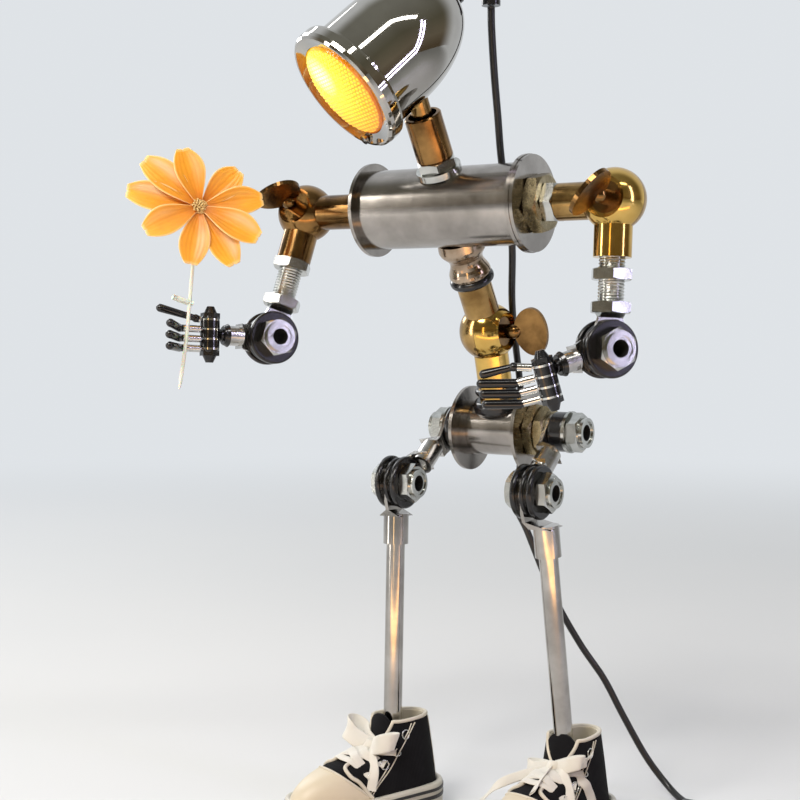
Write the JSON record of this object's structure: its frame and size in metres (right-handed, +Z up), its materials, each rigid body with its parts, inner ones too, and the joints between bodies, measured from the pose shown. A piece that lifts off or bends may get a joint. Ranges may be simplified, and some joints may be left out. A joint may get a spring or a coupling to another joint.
{
  "type": "robot desk lamp",
  "caption": "Desk lamp shaped like a standing robot made of hardware fittings, with a headlamp for a head, posable arms, waist and legs, a flower in its hand, and sneakers.",
  "frame": {"origin": "on the table, under the middle of the box around the robot without its cord", "axes": "+Z up, the robot faces -Y, +X is the robot's left"},
  "size_m": [0.2364, 0.1582, 0.3445],
  "materials": {
    "mirror_chrome": "mirror polished chrome plate",
    "reflector_silver": "bright reflector metal",
    "lens_glass": "amber moulded headlamp glass with prism ribs",
    "bulb_glass": "clear bulb glass on a metal cap",
    "antique_brass": "dark antique brass, satin with worn bright edges",
    "brushed_tube": "brushed steel tube, worn and scratched",
    "zinc_plate": "bright zinc plated hardware",
    "tinned_lug": "tinned copper cable lug, soft sheen",
    "black_rubber": "black moulded rubber, soft sheen",
    "black_vinyl": "glossy black dipped vinyl",
    "cord_sheath": "black round flexible cord",
    "plug_plastic": "black moulded plastic",
    "rocker_plastic": "black moulded plastic",
    "flower_petal": "orange moulded plastic petals, darker at the eye",
    "flower_stem": "pale translucent plastic",
    "shoe_rubber": "off-white moulded rubber sole",
    "shoe_cloth": "black canvas with white stitching"
  },
  "bodies": {
    "pelvis": {"waist_swivel_lower": "antique_brass", "waist_rings": "black_rubber", "pelvis_tube": "brushed_tube", "pelvis_discs": "brushed_tube", "pelvis_axle": "zinc_plate", "hip_bronze_nuts": "antique_brass", "hip_washers": "black_rubber", "cord_lead": "cord_sheath", "cord_coil": "cord_sheath", "plug": "plug_plastic", "inline_switch": "plug_plastic"},
    "torso": {"waist_swivel_upper": "antique_brass", "waist_flare": "antique_brass", "waist_o_ring": "black_rubber", "torso_tube": "brushed_tube", "torso_discs": "brushed_tube", "torso_axle": "zinc_plate", "torso_bronze_nut": "antique_brass", "neck_tube": "antique_brass"},
    "head": {"head_shell": "mirror_chrome", "trim_ring": "mirror_chrome", "lens": "lens_glass", "reflector": "reflector_silver", "bulb": "bulb_glass", "cord_gland": "black_vinyl", "head_stud": "antique_brass"},
    "waist_clamp": {"waist_key": "antique_brass"},
    "rocker": {"switch_rocker": "rocker_plastic"},
    "left_shoulder": {"left_shoulder_inner": "antique_brass"},
    "left_arm": {"left_shoulder_outer": "antique_brass", "left_arm_stud": "zinc_plate", "left_elbow_bolt_set": "zinc_plate"},
    "left_clamp": {"left_shoulder_key": "antique_brass"},
    "left_forearm": {"left_forearm": "tinned_lug"},
    "left_thumb": {"left_thumb": "black_vinyl"},
    "left_finger_1": {"left_finger_1": "black_vinyl"},
    "left_finger_2": {"left_finger_2": "black_vinyl"},
    "left_finger_3": {"left_finger_3": "black_vinyl"},
    "left_thigh": {"left_thigh": "tinned_lug", "left_knee_bolt_set": "zinc_plate"},
    "left_shin": {"left_shin": "tinned_lug", "left_shoe_sole": "shoe_rubber", "left_shoe_upper": "shoe_cloth"},
    "right_shoulder": {"right_shoulder_inner": "antique_brass"},
    "right_arm": {"right_shoulder_outer": "antique_brass", "right_arm_stud": "zinc_plate", "right_elbow_bolt_set": "zinc_plate"},
    "right_clamp": {"right_shoulder_key": "antique_brass"},
    "right_forearm": {"right_forearm": "tinned_lug", "flower_head": "flower_petal", "flower_stem": "flower_stem"},
    "right_thumb": {"right_thumb": "black_vinyl"},
    "right_finger_1": {"right_finger_1": "black_vinyl"},
    "right_finger_2": {"right_finger_2": "black_vinyl"},
    "right_finger_3": {"right_finger_3": "black_vinyl"},
    "right_thigh": {"right_thigh": "tinned_lug", "right_knee_bolt_set": "zinc_plate"},
    "right_shin": {"right_shin": "tinned_lug", "right_shoe_sole": "shoe_rubber", "right_shoe_upper": "shoe_cloth"}
  },
  "joints": [
    {"name": "waist_tilt", "type": "hinge", "parent": "pelvis", "child": "torso", "pos_m": [0.011, 0.03451, 0.20404], "axis": [1, 0, 0], "range_deg": [-36, 10]},
    {"name": "head_turn", "type": "hinge", "parent": "torso", "child": "head", "pos_m": [0.011, -0.0168, 0.28777], "axis": [0, -0.5225, 0.8526], "range_deg": [-100, 120], "deforming": ["cord_lead"]},
    {"name": "waist_key_turn", "type": "hinge", "parent": "pelvis", "child": "waist_clamp", "pos_m": [0.011, 0.03451, 0.20404], "axis": [1, 0, 0], "range_deg": [-90, 90]},
    {"name": "left_shoulder_raise", "type": "hinge", "parent": "torso", "child": "left_shoulder", "pos_m": [0.0821, 0.0041, 0.25367], "axis": [1, 0, 0], "range_deg": [-80, 20]},
    {"name": "left_shoulder_spread", "type": "hinge", "parent": "left_shoulder", "child": "left_arm", "pos_m": [0.0821, 0.0041, 0.25367], "axis": [0, -0.9976, 0.0698], "range_deg": [-8, 70]},
    {"name": "left_shoulder_key_turn", "type": "hinge", "parent": "left_arm", "child": "left_clamp", "pos_m": [0.0821, 0.0041, 0.25367], "axis": [0, -0.9976, 0.0698], "range_deg": [-90, 90]},
    {"name": "left_elbow_bend", "type": "hinge", "parent": "left_arm", "child": "left_forearm", "pos_m": [0.0821, 0.00022, 0.1983], "axis": [0.8192, -0.5722, 0.04], "range_deg": [-40, 60]},
    {"name": "left_thumb_turn", "type": "hinge", "parent": "left_forearm", "child": "left_thumb", "pos_m": [0.06569, -0.02068, 0.19285], "axis": [0.1867, 0.2001, -0.9618], "range_deg": [-25, 20]},
    {"name": "left_finger_1_turn", "type": "hinge", "parent": "left_forearm", "child": "left_finger_1", "pos_m": [0.06644, -0.01988, 0.189], "axis": [0.1867, 0.2001, -0.9618], "range_deg": [-25, 20]},
    {"name": "left_finger_2_turn", "type": "hinge", "parent": "left_forearm", "child": "left_finger_2", "pos_m": [0.06718, -0.01908, 0.18515], "axis": [0.1867, 0.2001, -0.9618], "range_deg": [-25, 20]},
    {"name": "left_finger_3_turn", "type": "hinge", "parent": "left_forearm", "child": "left_finger_3", "pos_m": [0.06793, -0.01828, 0.18131], "axis": [0.1867, 0.2001, -0.9618], "range_deg": [-25, 20]},
    {"name": "right_shoulder_raise", "type": "hinge", "parent": "torso", "child": "right_shoulder", "pos_m": [-0.0601, 0.0041, 0.25367], "axis": [1, 0, 0], "range_deg": [-80, 20]},
    {"name": "right_shoulder_spread", "type": "hinge", "parent": "right_shoulder", "child": "right_arm", "pos_m": [-0.0601, 0.0041, 0.25367], "axis": [0, 0.9455, -0.3256], "range_deg": [-8, 70]},
    {"name": "right_shoulder_key_turn", "type": "hinge", "parent": "right_arm", "child": "right_clamp", "pos_m": [-0.0601, 0.0041, 0.25367], "axis": [0, -0.9455, 0.3256], "range_deg": [-90, 90]},
    {"name": "right_elbow_bend", "type": "hinge", "parent": "right_arm", "child": "right_forearm", "pos_m": [-0.06494, -0.0139, 0.20139], "axis": [0.8796, -0.4689, 0.0801], "range_deg": [-5, 60]},
    {"name": "right_thumb_turn", "type": "hinge", "parent": "right_forearm", "child": "right_thumb", "pos_m": [-0.07948, -0.03626, 0.20891], "axis": [0.041, -0.093, -0.9948], "range_deg": [0, 30]},
    {"name": "right_finger_1_turn", "type": "hinge", "parent": "right_forearm", "child": "right_finger_1", "pos_m": [-0.07931, -0.03664, 0.20493], "axis": [0.041, -0.093, -0.9948], "range_deg": [0, 30]},
    {"name": "right_finger_2_turn", "type": "hinge", "parent": "right_forearm", "child": "right_finger_2", "pos_m": [-0.07915, -0.03701, 0.20095], "axis": [0.041, -0.093, -0.9948], "range_deg": [0, 30]},
    {"name": "right_finger_3_turn", "type": "hinge", "parent": "right_forearm", "child": "right_finger_3", "pos_m": [-0.07898, -0.03738, 0.19698], "axis": [0.041, -0.093, -0.9948], "range_deg": [0, 30]},
    {"name": "left_hip_bend", "type": "hinge", "parent": "pelvis", "child": "left_thigh", "pos_m": [0.011, 0.04605, 0.16242], "axis": [1, 0, 0], "range_deg": [-40, 50]},
    {"name": "left_knee_bend", "type": "hinge", "parent": "left_thigh", "child": "left_shin", "pos_m": [0.043, 0.01749, 0.1405], "axis": [1, 0, 0], "range_deg": [-48, 30]},
    {"name": "right_hip_bend", "type": "hinge", "parent": "pelvis", "child": "right_thigh", "pos_m": [0.011, 0.04605, 0.16242], "axis": [1, 0, 0], "range_deg": [-40, 50]},
    {"name": "right_knee_bend", "type": "hinge", "parent": "right_thigh", "child": "right_shin", "pos_m": [-0.021, 0.01749, 0.1405], "axis": [1, 0, 0], "range_deg": [-48, 30]},
    {"name": "rocker_tilt", "type": "hinge", "parent": "pelvis", "child": "rocker", "pos_m": [0.095, 0.04755, 0.0104], "axis": [1, 0, 0], "range_deg": [-18, 0]}
  ]
}
